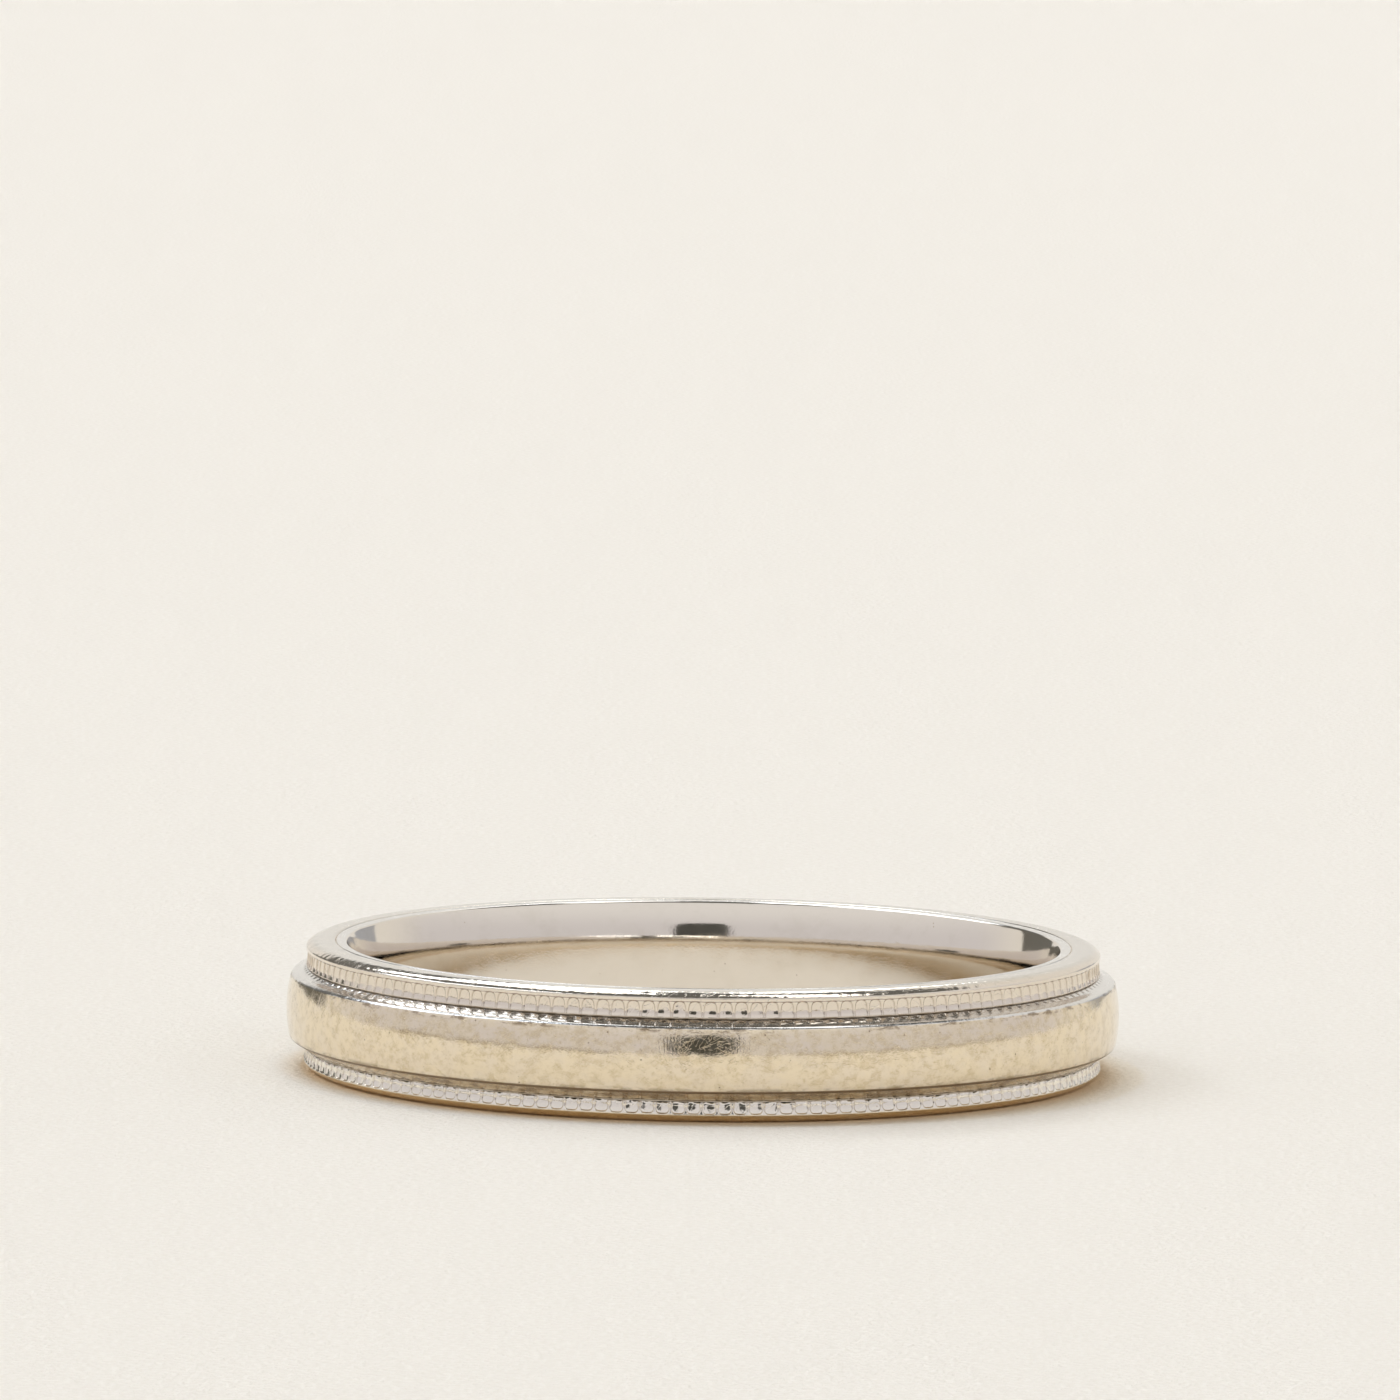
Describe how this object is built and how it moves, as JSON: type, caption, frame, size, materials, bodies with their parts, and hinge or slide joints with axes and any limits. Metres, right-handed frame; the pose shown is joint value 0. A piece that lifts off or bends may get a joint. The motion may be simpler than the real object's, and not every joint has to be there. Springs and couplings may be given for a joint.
{
  "type": "wedding band",
  "caption": "Domed white-gold wedding band with milgrain edges and a comfort-fit bore, soldered up from a sleeve, a domed centre band and a milgrain ring on each side.",
  "frame": {"origin": "centre of the bottom of the bounding box, on the finger's axis and on the face the band rests on", "axes": "+Z along the finger's axis, up when the band lies on its side face; X and Y are interchangeable"},
  "size_m": [0.0196, 0.0196, 0.003],
  "materials": {
    "white_gold": "polished white gold, worn to a warm tone",
    "bright_white_gold": "rhodium-bright in the milgrain and the bore",
    "solder": "satin white-gold solder"
  },
  "bodies": {
    "root": {"inner_sleeve": "bright_white_gold", "sleeve_solder": "solder", "centre_band": "white_gold", "upper_milgrain_ring": "bright_white_gold", "lower_milgrain_ring": "bright_white_gold", "upper_solder_seam": "solder", "lower_solder_seam": "solder"}
  },
  "joints": []
}
